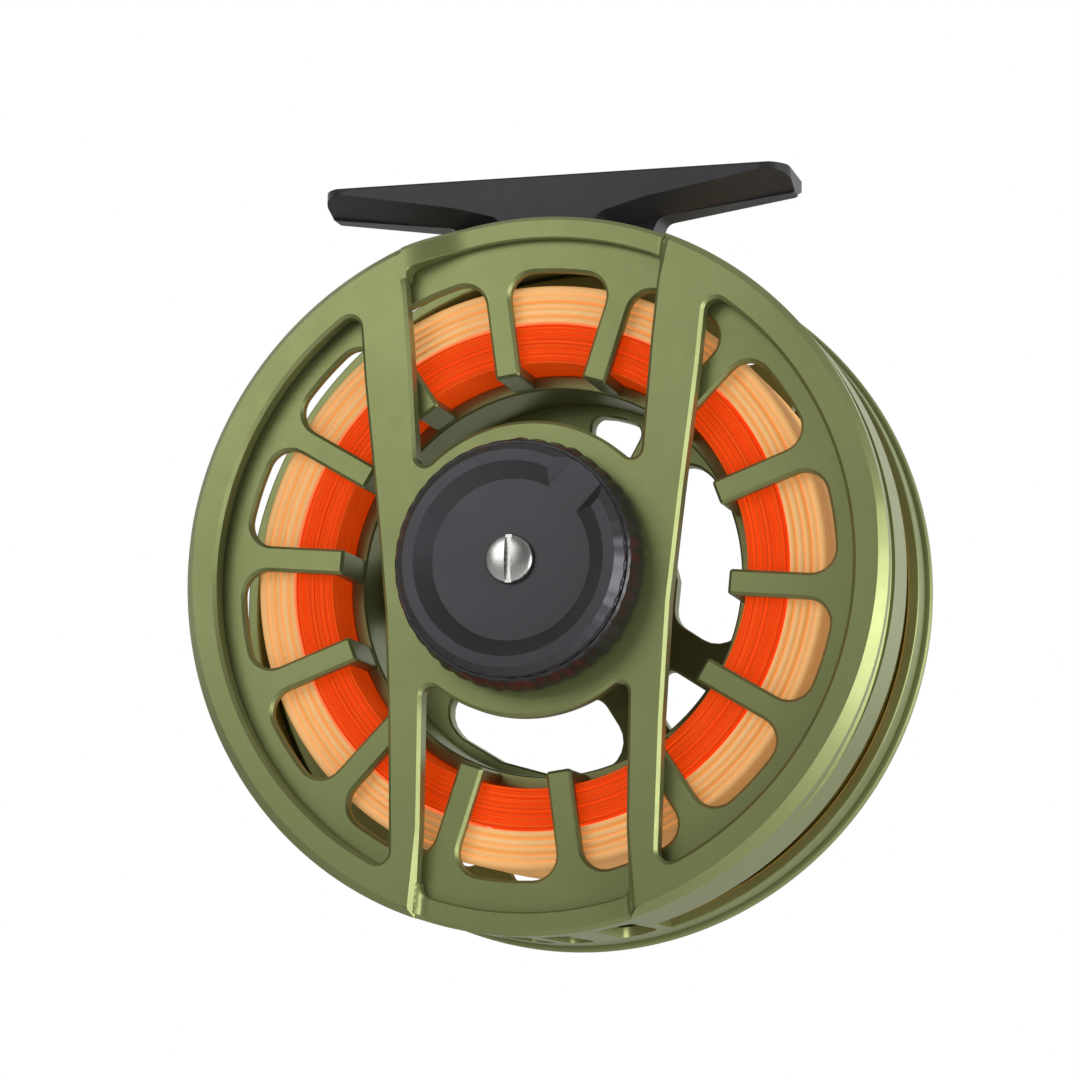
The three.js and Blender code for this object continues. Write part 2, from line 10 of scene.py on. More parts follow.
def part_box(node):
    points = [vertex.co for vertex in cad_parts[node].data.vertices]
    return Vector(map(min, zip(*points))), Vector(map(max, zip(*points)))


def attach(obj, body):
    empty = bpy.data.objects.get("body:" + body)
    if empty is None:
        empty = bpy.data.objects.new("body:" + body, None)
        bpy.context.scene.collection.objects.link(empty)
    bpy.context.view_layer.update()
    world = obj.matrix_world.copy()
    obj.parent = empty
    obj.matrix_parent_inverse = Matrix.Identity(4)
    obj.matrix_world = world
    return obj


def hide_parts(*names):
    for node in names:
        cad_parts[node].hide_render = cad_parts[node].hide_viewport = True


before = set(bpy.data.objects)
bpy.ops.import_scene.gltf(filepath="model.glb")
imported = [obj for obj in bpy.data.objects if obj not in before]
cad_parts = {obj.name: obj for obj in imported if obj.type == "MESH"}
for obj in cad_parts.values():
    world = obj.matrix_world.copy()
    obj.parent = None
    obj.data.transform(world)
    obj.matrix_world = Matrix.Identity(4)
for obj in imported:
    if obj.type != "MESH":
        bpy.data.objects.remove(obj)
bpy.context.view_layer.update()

# A fly reel. Shapes are drawn in millimetres about the reel's axle: x to the right, y from the
# near face towards the handle side, z up. piece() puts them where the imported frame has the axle.
MM = 0.001
LINE_LOW, LINE_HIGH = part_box("fly_line")
NEAR_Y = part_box("frame")[0].y
AXLE = Vector(((LINE_LOW.x + LINE_HIGH.x) / 2, NEAR_Y, (LINE_LOW.z + LINE_HIGH.z) / 2))

# ---- driving sizes, millimetres; a pair is [inner, outer] radius or [near, far] y --------------
NUDGE = 0.01                     # keeps two surfaces from lying in one plane
SHARP = 0.01                     # bevel of an edge that stays sharp
PAST = 3                         # how far a cutter runs past what it cuts
GAP = 0.3                        # clearance between neighbouring pieces

FACE_R = (43.5, 48.0)
FACE_T = 2.7
EDGE = 0.45                      # chamfer of the bars, the hub and the face's windows
RIM_CHAMFER = (0.9, 1.5)         # round the outside of the face, and low on its two sides
RIM_WIDEST = -32                 # where it is widest, degrees above the middle
RIM_SPREAD = 40                  # degrees from there to where it is narrow again
RIM_BAND = 1.5                   # band inside the rim where the fine chamfer grows into it
WALL_INNER = 46.6
WALL_END = 15.0
WALL_EDGES = (0.6, 0.25)         # bevels of its far end, outside and inside
WALL_BEHIND = 0.3                # how much deeper its front lies where the face covers it
WALL_STEPS = (0.3, 1.5)          # degrees from step to step, near a bar and elsewhere
RING_R = (46.4, 48.0)
RING_Y = (24.0, 28.6)
HUB_R = 19.7
HUB_BORE = 3.3
BAR_OUTER = [(24.0, 36.4), (23.0, 26), (21.0, 9.5), (19.4, -5), (18.6, -20), (18.1, -38)]
BAR_INNER = [(18.4, 46), (17.4, 38), (16.6, 30), (15.5, 16), (14.1, -16), (14.0, -34), (14.6, -47)]
WINDOW_FILLET = 1.6
HUB_FILLET = 1.3
ARCH_FLOOR = 1.9
ARCH_INNER = 44.9
ARCH_BACK = 3.0
ARCH_CORNER = 1.4
ARCH_CHAMFER = 0.6
COVE_START = 0.6                 # depth at which an arch's rounded end meets its bar
COVES = {"upper right": 0.8, "lower left": 1.6, "lower right": 0.8}
RAMP = 9.0                       # length over which the upper left bar runs down into its arch
BRIDGE_HALF = 17.5
SLOTS = [(-13.2, -8.2), (-4.6, -0.8), (0.8, 4.6), (8.2, 13.2)]
SLOT_Y = (5.5, 21.5)
SLOT_FILLET = 1.9
SLOT_DEPTH = 8                   # length of the cutters through the bridge
RELIEF_HALF = 46.0               # half angle of the crescents cut into the wall's two sides
RELIEF_DEPTH = 0.85
RELIEF_Y = (2.7, 5.8)

SPOKES = 14
PHASE = -4.5
SPOKE_W = 3.4
FLANGE_R = 45.8
NEAR_FLANGE = (3.3, 5.0)
FAR_FLANGE = (26.6, 28.4)
WINDOW_R = 40.7
FLANGE_FILLET = 3.2
SPOKE_END = 26.6
SPOKE_FILLET = 0.45
SPOKE_BEVEL = 0.4
ARBOR_R = (26.3, 28.3)
DRUM_START = 12.0
FAR_WINDOW_R = (31.2, WINDOW_R)
FAR_FILLETS = (2.6, 1.2)         # outer and inner corners of the far flange's windows
WEB_Y = (22.8, 25.6)
WEB_BOSS_R = (11.8, 13.8)
WEB_BOSS_Y = (15, 27)
WEB_GROUPS = 3
WEB_OUTER = 25
WEB_WIDE = (15, 38, 15, 4.0)     # bearing and half angle, degrees; inner radius; rounding
WEB_NARROW = (-45, 9, 17.5, 1.6)
PALM_R = (44.5, 48.8)
PALM_Y = (29.0, 31.4)
PALM_ROOT = 27.2                 # how far the rim reaches into the far flange
PAD_R = 5.6                      # pads under the handle and the counterweight
POST_R = (1.8, 3.6)              # short post that the handle turns on
POST_END = 31.6
WEIGHT_R = 4.2
HANDLE_R = 36.0
HANDLE_SPOKE = 2
WEIGHT_SPOKE = HANDLE_SPOKE + SPOKES // 2

PACK_Y = (5.3, 26.3)
BACKING_R = (28.6, 33.9)
BACKING_D = 0.34
FLY_R = (34.2, 39.2)
FLY_D = 1.1

FOOT_TOP = 55.4
FOOT_Y = (8.0, 22.0)
FOOT_MIDDLE = (FOOT_Y[0] + FOOT_Y[1]) / 2
FOOT_HALF = 33.0
FOOT_END_R = 4.0                 # rounding of the ends, seen from above
FOOT_TIP_Z = 52.4                # underside at the tips
FOOT_ROOT = (14.5, 49.9)         # [x, z] where the wings meet the pedestal
FOOT_NECK = (12.6, 44)           # and below, inside the frame, where the saddle cuts it off
FOOT_PLAN_Z = (60, 40)           # how far the outline from above is drawn down
SADDLE_Y = (-5, 40)
KEEL_HALF = 2.2                  # half width of the ridge under each wing
KEEL_TILT = 21                   # degrees that the underside rises beside the ridge
KEEL_PIVOT_Z = 50
FLANK_CUT = [(6.4, 44), (6.4, 47.9), (13.4, 49.7), (34.5, 53.2), (34.5, 44)]
FLANK_FILLETS = [0, 2.2, 3.0, 0, 0]

KNOB_R = 15.4
KNOB_Y = (-8.3, -0.6)
KNOB_BORE = 1.8
KNOB_CHAMFER = 1.15
KNOB_HOLLOW = (12.6, -5.4)       # radius and floor of the hollow behind it
DIAL_WEAR = 0.12                 # how far scallops and wear move the dial's edge
GRIP_R = 16.8
GRIP_RIDGES = 40
GRIP_NEAR = -6.5
RECESS_R = (10.6, 12.8)
RECESS_FLOOR = -6.8
NOTCH_ANGLE = 48.0
NOTCH_X = (8.6, 22)
NOTCH_HALF = 2.5
NOTCH_SLOPE = 1.5                # how far the notch's sides lean outwards over its depth
SCREW_R = (1.5, 3.2)             # shank and head
SCREW_TIP = -1.6
SCREW_RISE = (0.35, 0.95)        # of the head's edge, and of its dome above that
SCREW_SLOT = (0.42, 0.5)         # half width, and floor above the head's seat


# ---- drawing helpers ---------------------------------------------------------------------------
def polar(radius, degrees):
    return (radius * math.cos(math.radians(degrees)), radius * math.sin(math.radians(degrees)))


def spread(start, end, count):
    return [start + (end - start) * k / count for k in range(count + 1)]


def arc(centre, radius, start, end, steps):
    points = (polar(radius, degrees) for degrees in spread(start, end, steps))
    return [(centre[0] + x, centre[1] + z) for x, z in points]


def bearing(origin, point):
    return math.degrees(math.atan2(point[1] - origin[1], point[0] - origin[0]))


def round_loop(radius, steps):
    return arc((0, 0), radius, 0, 360, steps)[:-1]


def blend_arc(centre, radius, start, end, steps=7):
    """The shorter arc about a centre, from the direction of one point to that of another."""
    begin = bearing(centre, start)
    sweep = (bearing(centre, end) - begin + 180) % 360 - 180
    return arc(centre, radius, begin, begin + sweep, steps)


def meeting(start, along, circle, upper):
    """Where a straight line meets a circle about the axle, at its upper or its lower end."""
    half = start.dot(along)
    root = math.sqrt(half * half - start.length_squared + circle * circle)
    ends = [start + along * (-half + root), start + along * (-half - root)]
    return max(ends, key=lambda p: p.y) if upper else min(ends, key=lambda p: p.y)


def fillet_to_circle(line, toward, circle, radius, inside, upper):
    """Arc that joins a straight edge to a circle about the axle. It starts on the straight edge.
    toward is +1 or -1, the x side of the edge that is open."""
    first, second = Vector(line[0]), Vector(line[1])
    along = (second - first).normalized()
    normal = Vector((-along.y, along.x))
    if normal.x * toward < 0:
        normal = -normal
    reach = circle - radius if inside else circle + radius
    centre = meeting(first + normal * radius, along, reach, upper)
    return blend_arc(centre, radius, centre - normal * radius, centre * (circle / reach))


def rounded(corners, radii, steps=6):
    """A polygon whose corners are rounded by the given radii."""
    points = []
    for i, (corner, radius) in enumerate(zip(corners, radii)):
        here = Vector(corner)
        if radius == 0:
            points.append(tuple(here))
            continue
        before = (Vector(corners[i - 1]) - here).normalized()
        after = (Vector(corners[(i + 1) % len(corners)]) - here).normalized()
        half = math.acos(max(-1, min(1, before.dot(after)))) / 2
        centre = here + (before + after).normalized() * (radius / math.sin(half))
        reach = radius / math.tan(half)
        points += blend_arc(centre, radius, here + before * reach, here + after * reach, steps)
    return points


def clean(loop, least=0.01):
    """The loop without points that nearly repeat the one before."""
    kept = []
    for point in loop:
        if not kept or (Vector(point) - Vector(kept[-1])).length > least:
            kept.append(point)
    if (Vector(kept[0]) - Vector(kept[-1])).length <= least:
        kept.pop()
    return kept


def shifted(loop, widths):
    """Each point of a closed loop moved to the left of the way round by its own width."""
    moved = []
    for i, width in enumerate(widths):
        here = Vector(loop[i])
        arriving = (here - Vector(loop[i - 1])).normalized()
        leaving = (Vector(loop[(i + 1) % len(loop)]) - here).normalized()
        left = Vector((-arriving.y, arriving.x))
        miter = (left + Vector((-leaving.y, leaving.x))).normalized()
        moved.append(here + miter * (width / max(miter.dot(left), 0.5)))
    return moved


def finished(bm):
    bmesh.ops.remove_doubles(bm, verts=bm.verts, dist=1e-5)
    loose = [edge for edge in bm.edges if not edge.link_faces]
    bmesh.ops.delete(bm, geom=loose, context="EDGES")
    bmesh.ops.recalc_face_normals(bm, faces=bm.faces)
    mesh = bpy.data.meshes.new("shape")
    bm.to_mesh(mesh)
    bm.free()
    return mesh


def strip(bm, row, following):
    for i in range(len(row)):
        j = (i + 1) % len(row)
        bm.faces.new((row[i], row[j], following[j], following[i]))


def plate(outer, holes, near_y, far_y, near=EDGE, far=EDGE, bevel_steps=3):
    """A flat piece with rounded edges, or with plain chamfers where bevel_steps is 1. Loops run
    anticlockwise in x and z; near and far are the widths of the edges' rounding, or a function
    that gives one for a point."""
    near_at = near if callable(near) else lambda point: near
    far_at = far if callable(far) else lambda point: far
    turns = [math.radians(90 * k / bevel_steps) for k in range(bevel_steps + 1)]
    bm = bmesh.new()
    near_cap, far_cap = [], []
    for loop, side in [(clean(outer), 1)] + [(clean(hole), -1) for hole in holes]:
        rows = []
        for width_at, level, inward, order in (
            (near_at, near_y, 1, turns), (far_at, far_y, -1, reversed(turns)),
        ):
            widths = [width_at(point) for point in loop]
            for turn in order:
                edge = shifted(loop, [side * w * (1 - math.sin(turn)) for w in widths])
                rise = inward * (1 - math.cos(turn))
                rows.append([
                    bm.verts.new((p.x, level + rise * w, p.y)) for p, w in zip(edge, widths)
                ])
        for row, following in zip(rows, rows[1:]):
            strip(bm, row, following)
        near_cap.append(rows[0])
        far_cap.append(rows[-1])
    for cap in (near_cap, far_cap):
        verts = [vert for row in cap for vert in row]
        flat = [[Vector((vert.co.x, vert.co.z, 0)) for vert in row] for row in cap]
        for triangle in tessellate_polygon(flat):
            bm.faces.new([verts[i] for i in triangle])
    return finished(bm)


def lathe(profile_at, angles, whole=True):
    """A closed mesh through the closed (radius, y) loop that profile_at gives at each angle."""
    bm = bmesh.new()
    rows = []
    for degrees in angles:
        rows.append([
            bm.verts.new((polar(r, degrees)[0], y, polar(r, degrees)[1]))
            for r, y in profile_at(degrees)
        ])
    for row, following in zip(rows, rows[1:] + rows[:1] if whole else rows[1:]):
        strip(bm, row, following)
    if not whole:
        bm.faces.new(rows[0])
        bm.faces.new(rows[-1])
    return finished(bm)


def turned(profile, segments=128):
    """A ring or a solid turned about the axle from (radius, y) corners."""
    return lathe(lambda degrees: profile, spread(0, 360, segments)[:-1])


def softened(profile, width):
    """A closed (radius, y) loop whose corners are rounded, except those on the axle."""
    return rounded(profile, [0 if r == 0 else width for r, y in profile], 3)


def closed(mesh):
    """The mesh itself, once it is known to have no open or doubled edges."""
    bm = bmesh.new()
    bm.from_mesh(mesh)
    open_edges = sum(not edge.is_manifold for edge in bm.edges)
    bm.free()
    if open_edges:
        raise ValueError(f"{mesh.name}: {open_edges} edges are open")
    return mesh


def combined(base, others, operation):
    """One closed mesh joined to others, or cut by them."""
    host = bpy.data.objects.new("host", closed(base))
    bpy.context.scene.collection.objects.link(host)
    tools = []
    for mesh in others:
        tool = bpy.data.objects.new("tool", closed(mesh))
        bpy.context.scene.collection.objects.link(tool)
        tools.append(tool)
        modifier = host.modifiers.new("combine", "BOOLEAN")
        modifier.operation = operation
        modifier.solver = "MANIFOLD"
        modifier.object = tool
    graph = bpy.context.evaluated_depsgraph_get()
    result = bpy.data.meshes.new_from_object(host.evaluated_get(graph))
    for item in [host] + tools:
        bpy.data.objects.remove(item)
    return closed(result)


def merged(meshes):
    """Several meshes in one, as they are."""
    bm = bmesh.new()
    for mesh in meshes:
        bm.from_mesh(mesh)
    result = bpy.data.meshes.new("shape")
    bm.to_mesh(result)
    bm.free()
    return result


def tube(radii, span, rounding, segments):
    """A ring of rectangular section, or a disc, with rounded edges."""
    (inner, outer), (start, end) = radii, span
    section = [(inner, start), (outer, start), (outer, end), (inner, end)]
    return turned(softened(section, rounding), segments)


def piece(name, mesh, material, body, replaces, sharp=32):
    """Puts a mesh drawn in millimetres about the axle into the scene as a piece of the reel."""
    closed(mesh).transform(Matrix.Translation(AXLE) @ Matrix.Scale(MM, 4))
    mesh.shade_smooth()
    mesh.set_sharp_from_angle(angle=math.radians(sharp))
    mesh.materials.clear()
    mesh.materials.append(material)
    mesh.name = name
    made = bpy.data.objects.new(name, mesh)
    bpy.context.scene.collection.objects.link(made)
    weighted = made.modifiers.new("weighted", "WEIGHTED_NORMAL")
    weighted.keep_sharp = True
    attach(made, body)
    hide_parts(*replaces)


# ---- materials ---------------------------------------------------------------------------------
BLASTED = 0.000012               # depth of blasted grain, metres


class Nodes:
    """A material's node tree, with short calls for the nodes that the finishes share."""

    def __init__(self, name):
        self.material = bpy.data.materials.new(name)
        self.material.use_nodes = True
        self.tree = self.material.node_tree
        self.shader = self.tree.nodes["Principled BSDF"]
        self.place = self.add("ShaderNodeTexCoord").outputs["Object"]

    def add(self, kind, **settings):
        node = self.tree.nodes.new(kind)
        for key, value in settings.items():
            setattr(node, key, value)
        return node

    def link(self, source, target):
        self.tree.links.new(source, target)

    def noise(self, scale, detail):
        node = self.add("ShaderNodeTexNoise")
        node.inputs["Scale"].default_value = scale
        node.inputs["Detail"].default_value = detail
        self.link(self.place, node.inputs["Vector"])
        return node.outputs["Fac"]

    def radius(self):
        """Distance from the axle, in metres."""
        offset = self.add("ShaderNodeVectorMath", operation="SUBTRACT")
        offset.inputs[1].default_value = AXLE
        self.link(self.place, offset.inputs[0])
        flat = self.add("ShaderNodeVectorMath", operation="MULTIPLY")
        flat.inputs[1].default_value = (1, 0, 1)
        self.link(offset.outputs[0], flat.inputs[0])
        length = self.add("ShaderNodeVectorMath", operation="LENGTH")
        self.link(flat.outputs[0], length.inputs[0])
        return length.outputs["Value"]

    def wave_of(self, source, scale):
        """Noise along one number, for marks that follow a tool round."""
        node = self.add("ShaderNodeTexNoise", noise_dimensions="1D")
        node.inputs["Scale"].default_value = scale
        node.inputs["Detail"].default_value = 2.0
        self.link(source, node.inputs["W"])
        return node.outputs["Fac"]

    def ramp(self, source, stops):
        node = self.add("ShaderNodeValToRGB")
        elements = node.color_ramp.elements
        while len(elements) < len(stops):
            elements.new(0.5)
        for element, (position, colour) in zip(elements, stops):
            element.position = position
            element.color = (*colour, 1)
        self.link(source, node.inputs["Fac"])
        return node.outputs["Color"]

    def spanned(self, source, low, high):
        node = self.add("ShaderNodeMapRange")
        node.inputs["To Min"].default_value = low
        node.inputs["To Max"].default_value = high
        self.link(source, node.inputs["Value"])
        return node.outputs["Result"]

    def bump(self, source, depth, strength, onto=None):
        node = self.add("ShaderNodeBump")
        node.inputs["Distance"].default_value = depth
        node.inputs["Strength"].default_value = strength
        self.link(source, node.inputs["Height"])
        if onto:
            self.link(onto, node.inputs["Normal"])
        return node.outputs["Normal"]

    def feed(self, **sources):
        for name, source in sources.items():
            self.link(source, self.shader.inputs[name.replace("_", " ")])

    def fix(self, **values):
        for name, value in values.items():
            self.shader.inputs[name.replace("_", " ")].default_value = value


def anodised(name, dark, light, roughness, metallic):
    """Satin anodising: fine blasted grain, slight cloudiness and faint marks of the cutter."""
    nodes = Nodes(name)
    cloud = nodes.noise(55, 4)
    turning = nodes.wave_of(nodes.radius(), 9000)
    marks = nodes.bump(turning, BLASTED * 0.6, 0.35)
    nodes.feed(
        Base_Color=nodes.ramp(cloud, [(0.3, dark), (0.7, light)]),
        Roughness=nodes.spanned(nodes.noise(420, 5), roughness - 0.04, roughness + 0.05),
        Normal=nodes.bump(nodes.noise(6500, 2), BLASTED, 0.5, marks),
    )
    nodes.fix(Metallic=metallic, Specular_IOR_Level=0.3)
    return nodes.material


def steel(name, colour, roughness):
    nodes = Nodes(name)
    brushed = nodes.wave_of(nodes.radius(), 14000)
    bright = tuple(min(1, c * 1.12) for c in colour)
    nodes.feed(
        Base_Color=nodes.ramp(nodes.noise(300, 4), [(0.3, colour), (0.7, bright)]),
        Roughness=nodes.spanned(brushed, roughness - 0.05, roughness + 0.1),
        Normal=nodes.bump(brushed, 0.00002, 0.4),
    )
    nodes.fix(Metallic=1.0)
    return nodes.material


def moulded(name, dark, light, roughness, grain, depth):
    """Moulded plastic or rubber with a fine pebbled skin."""
    nodes = Nodes(name)
    nodes.feed(
        Base_Color=nodes.ramp(nodes.noise(260, 4), [(0.35, dark), (0.7, light)]),
        Roughness=nodes.spanned(nodes.noise(900, 4), roughness - 0.08, roughness + 0.08),
        Normal=nodes.bump(nodes.noise(grain, 3), depth, 0.6),
    )
    nodes.fix(Metallic=0.0)
    return nodes.material


def woven_carbon(name):
    nodes = Nodes(name)
    weave = nodes.add("ShaderNodeTexChecker")
    weave.inputs["Scale"].default_value = 1400
    weave.inputs["Color1"].default_value = (0.02, 0.02, 0.022, 1)
    weave.inputs["Color2"].default_value = (0.05, 0.05, 0.055, 1)
    nodes.link(nodes.place, weave.inputs["Vector"])
    nodes.feed(
        Base_Color=weave.outputs["Color"],
        Roughness=nodes.spanned(nodes.noise(1500, 3), 0.45, 0.7),
        Normal=nodes.bump(weave.outputs["Fac"], 0.00004, 0.5),
    )
    return nodes.material


def line_finish(name, stops, streaks, roughness, grain, depth, painted_glow, subsurface=0.0):
    """Wound line: streaks of colour follow the turns. A weak emission is painted light: it
    brightens the line against the shade it sits in, deep inside the spool.
    """
    nodes = Nodes(name)
    threads = nodes.wave_of(nodes.radius(), streaks)
    nodes.feed(
        Base_Color=nodes.ramp(threads, stops),
        Roughness=nodes.spanned(nodes.noise(700, 3), roughness - 0.06, roughness + 0.08),
        Normal=nodes.bump(nodes.noise(grain, 3), depth, 0.7),
    )
    # painted light: an emission colour and strength that lift the line out of the spool's shade
    colour, strength = painted_glow
    nodes.fix(Metallic=0.0, Subsurface_Weight=subsurface, Subsurface_Scale=0.0006)
    nodes.fix(Specular_IOR_Level=0.25, Emission_Color=(*colour, 1), Emission_Strength=strength)
    return nodes.material


GREEN = anodised("green_anodised", (0.215, 0.245, 0.095), (0.245, 0.275, 0.112), 0.40, 0.65)
GREY = anodised("grey_anodised", (0.034, 0.034, 0.038), (0.044, 0.044, 0.048), 0.42, 0.45)
BLACK = anodised("black_anodised", (0.012, 0.012, 0.013), (0.022, 0.022, 0.024), 0.5, 0.4)
KNOB_GREY = anodised("knob_grey", (0.046, 0.044, 0.050), (0.056, 0.054, 0.060), 0.33, 0.5)
STEEL = steel("steel", (0.52, 0.51, 0.49), 0.24)
BRONZE = steel("bronze", (0.52, 0.38, 0.17), 0.32)
RUBBER = moulded("seal_rubber", (0.012, 0.012, 0.013), (0.025, 0.025, 0.026), 0.65, 3000, 0.00002)
PLASTIC = moulded(
    "black_plastic", (0.008, 0.008, 0.009), (0.014, 0.014, 0.016), 0.34, 1300, 0.00006,
)
CARBON = woven_carbon("carbon")
# The last pair for each line is painted light: an emission colour and strength that brighten the
# wound line where the spool shades it.
BACKING = line_finish(
    "backing_orange", [(0.34, (0.62, 0.018, 0.001)), (0.62, (1.0, 0.11, 0.004))], 3600, 0.65,
    5200, 0.00006, ((1, 0.09, 0.002), 0.3),
)
PEACH = line_finish(
    "line_peach", [(0.34, (0.96, 0.40, 0.09)), (0.46, (0.96, 0.53, 0.21)), (0.7, (1, 0.64, 0.30))],
    1500, 0.42, 2400, 0.000015, ((1, 0.5, 0.16), 0.27), 0.1,
)


# ---- frame -------------------------------------------------------------------------------------
def bar_edge(side, edge):
    return [(side * x, z) for x, z in edge]


def on_circle(edge, radius, upper):
    """The point where an edge's first or last stretch meets a circle about the axle."""
    first, second = (Vector(p) for p in (edge[:2] if upper else edge[-2:]))
    return tuple(meeting(first, (second - first).normalized(), radius, upper))


def opening_corners(side, upper):
    """The bar's inner edge from the rim to the hub, above or below it, with the rounded corner."""
    edge = bar_edge(side, BAR_INNER)
    inner = [p for p in edge if (p[1] > HUB_R if upper else p[1] < -HUB_R)]
    inner = [p for p in inner if math.hypot(*p) < FACE_R[1]]
    if not upper:
        inner.reverse()
    corner = fillet_to_circle(edge[3:5], -side, HUB_R, HUB_FILLET, False, upper)
    return [on_circle(edge, FACE_R[1], upper)] + inner + corner


def face_outline():
    """The flush part of the face: both side rings with their bars, and the hub plate between."""
    right_up, left_up = opening_corners(1, True), opening_corners(-1, True)
    right_down, left_down = opening_corners(1, False), opening_corners(-1, False)
    origin = (0, 0)
    rim = FACE_R[1]
    outline = arc(origin, rim, bearing(origin, right_down[0]), bearing(origin, right_up[0]), 110)
    outline += right_up
    outline += arc(origin, HUB_R, bearing(origin, right_up[-1]), bearing(origin, left_up[-1]), 40)
    outline += left_up[::-1]
    start, end = bearing(origin, left_up[0]), bearing(origin, left_down[0]) % 360
    outline += arc(origin, rim, start, end, 110)
    outline += left_down
    start, end = bearing(origin, left_down[-1]) % 360, bearing(origin, right_down[-1]) % 360
    outline += arc(origin, HUB_R, start, end, 40)
    return outline + right_down[::-1]


def side_window(side):
    edge = bar_edge(side, BAR_OUTER)
    top = fillet_to_circle(edge[:2], side, FACE_R[0], WINDOW_FILLET, True, True)
    bottom = fillet_to_circle(edge[-2:], side, FACE_R[0], WINDOW_FILLET, True, False)
    start, end = (bearing((0, 0), p) for p in (bottom[-1], top[-1]))
    if side < 0:
        start, end = start % 360, end % 360
    loop = arc((0, 0), FACE_R[0], start, end, 70) + top[::-1] + edge[1:-1] + bottom
    return loop if side > 0 else loop[::-1]


def rim_chamfer(degrees):
    """Width of the chamfer outside the face, widest low on each side."""
    narrow, wide = RIM_CHAMFER
    height = math.degrees(math.asin(polar(1, degrees)[1]))
    return narrow + (wide - narrow) * max(0, 1 - abs(height - RIM_WIDEST) / RIM_SPREAD) ** 0.5


def face_bevel(point):
    """The rim has a wide chamfer, the bars and windows a fine one."""
    share = max(0, min(1, (math.hypot(*point) - (FACE_R[1] - RIM_BAND)) / RIM_BAND))
    return EDGE + (rim_chamfer(bearing((0, 0), point)) - EDGE) * share ** 2


def inner_edge(z):
    """How far the bars' inner edges lie from the middle at a height."""
    stretches = list(zip(BAR_INNER, BAR_INNER[1:]))
    (x1, z1), (x2, z2) = next((s for s in stretches if z > s[1][1]), stretches[-1])
    return x1 + (x2 - x1) * (z - z1) / (z2 - z1)


def bar_reach(radius, degrees):
    """How far a point of the wall lies from the nearer bar; negative behind the face."""
    x, z = polar(radius, degrees)
    return inner_edge(z) - abs(x)


def arch_depth(radius, degrees):
    """How far the arches' front lies behind the face, where they run into the bars too."""
    reach = bar_reach(radius, degrees)
    x, z = polar(radius, degrees)
    if x < 0 < z:
        share = min(1, max(0, reach) / RAMP)
        return 2 * NUDGE + (ARCH_FLOOR - 2 * NUDGE) * share * share * (3 - 2 * share)
    side = ("upper " if z > 0 else "lower ") + ("right" if x > 0 else "left")
    share = 1 - min(1, max(0, reach) / COVES[side])
    return ARCH_FLOOR - (ARCH_FLOOR - COVE_START) * (1 - math.sqrt(1 - share * share))


def wall_profile(degrees):
    """The wall's section. Under the bars and side rings its front lies inside the face."""
    reach = bar_reach(ARCH_INNER, degrees)
    corner = max(0, 1 - max(0, reach) / ARCH_CORNER)
    inner = ARCH_INNER - ARCH_CORNER * (1 - math.sqrt(1 - corner * corner))
    rim = FACE_R[1] - NUDGE
    chamfer = ARCH_CHAMFER if reach > 0.5 else rim_chamfer(degrees)
    behind = WALL_BEHIND if reach < -1.5 else 0
    if reach < -4:
        inner = WALL_INNER
    front = [(r, arch_depth(r, degrees) + behind) for r in spread(inner + 0.2, rim - chamfer, 5)]
    outside, inside = WALL_EDGES
    return [(inner, front[0][1] + 0.2)] + front + [
        (rim, front[-1][1] + chamfer), (rim, WALL_END - outside), (rim - outside, WALL_END),
        (WALL_INNER + inside, WALL_END), (WALL_INNER, WALL_END - inside),
        (WALL_INNER, ARCH_BACK + 0.5), (inner, ARCH_BACK - 0.05),
    ]


def wall_angles():
    """Steps round the wall, finer where the arches run into the bars."""
    fine, coarse = WALL_STEPS
    angles, degrees = [], 0.0
    while degrees < 360:
        angles.append(degrees)
        near_bar = -2 < bar_reach(ARCH_INNER, degrees) < RAMP + 1.5
        degrees += fine if near_bar else coarse
    return angles


def relief(side):
    """The crescent cut into one side of the wall, deepest in the middle."""
    middle = 0 if side > 0 else 180
    half = RELIEF_HALF + 6
    near, far = RELIEF_Y
    outside = FACE_R[1] + PAST

    def profile(degrees):
        share = abs((degrees - middle) / RELIEF_HALF)
        inner = FACE_R[1] - RELIEF_DEPTH * (1 - share * share)
        return [
            (inner + 0.2, near + 0.5), (outside, near - 1.2), (outside, far), (inner + 0.4, far),
            (inner, far - 0.5), (inner, near + 0.8),
        ]
    return lathe(profile, spread(middle - half, middle + half, 90), whole=False)


def bridge(centre):
    near, far = ARCH_BACK, RING_Y[0] + 1
    inner, outer = WALL_INNER + 5 * NUDGE, FACE_R[1] - 3 * NUDGE
    profile = rounded([(inner, near), (outer, near), (outer, far), (inner, far)], [0.1] * 4, 2)
    return lathe(
        lambda degrees: profile, spread(centre - BRIDGE_HALF, centre + BRIDGE_HALF, 40), False,
    )


def slot_cutter(span):
    """A rounded slot through the lower bridge, drawn flat and stood up through it."""
    left, right = span
    near, far = SLOT_Y
    radius = min(SLOT_FILLET, (right - left) / 2 - 0.05)
    flat = rounded([(left, near), (right, near), (right, far), (left, far)], [radius] * 4, 6)
    cutter = plate(flat, [], 0, SLOT_DEPTH, SHARP, SHARP, 1)
    stand = Matrix(((1, 0, 0, 0), (0, 0, 1, 0), (0, 1, 0, -FACE_R[1] - PAST), (0, 0, 0, 1)))
    cutter.transform(stand)
    cutter.flip_normals()
    return cutter


def build_frame():
    holes = [side_window(1), side_window(-1), round_loop(HUB_BORE, 40)]
    face = plate(face_outline(), holes, 0, FACE_T, face_bevel, 0.15, 1)
    wall = lathe(wall_profile, wall_angles())
    ring = tube(RING_R, RING_Y, 0.3, 240)
    whole = combined(face, [wall, bridge(90), bridge(-90), ring], "UNION")
    cutters = [relief(1), relief(-1)] + [slot_cutter(span) for span in SLOTS]
    whole = combined(whole, cutters, "DIFFERENCE")
    piece("frame_cage", whole, GREEN, "frame_body", ["frame"])


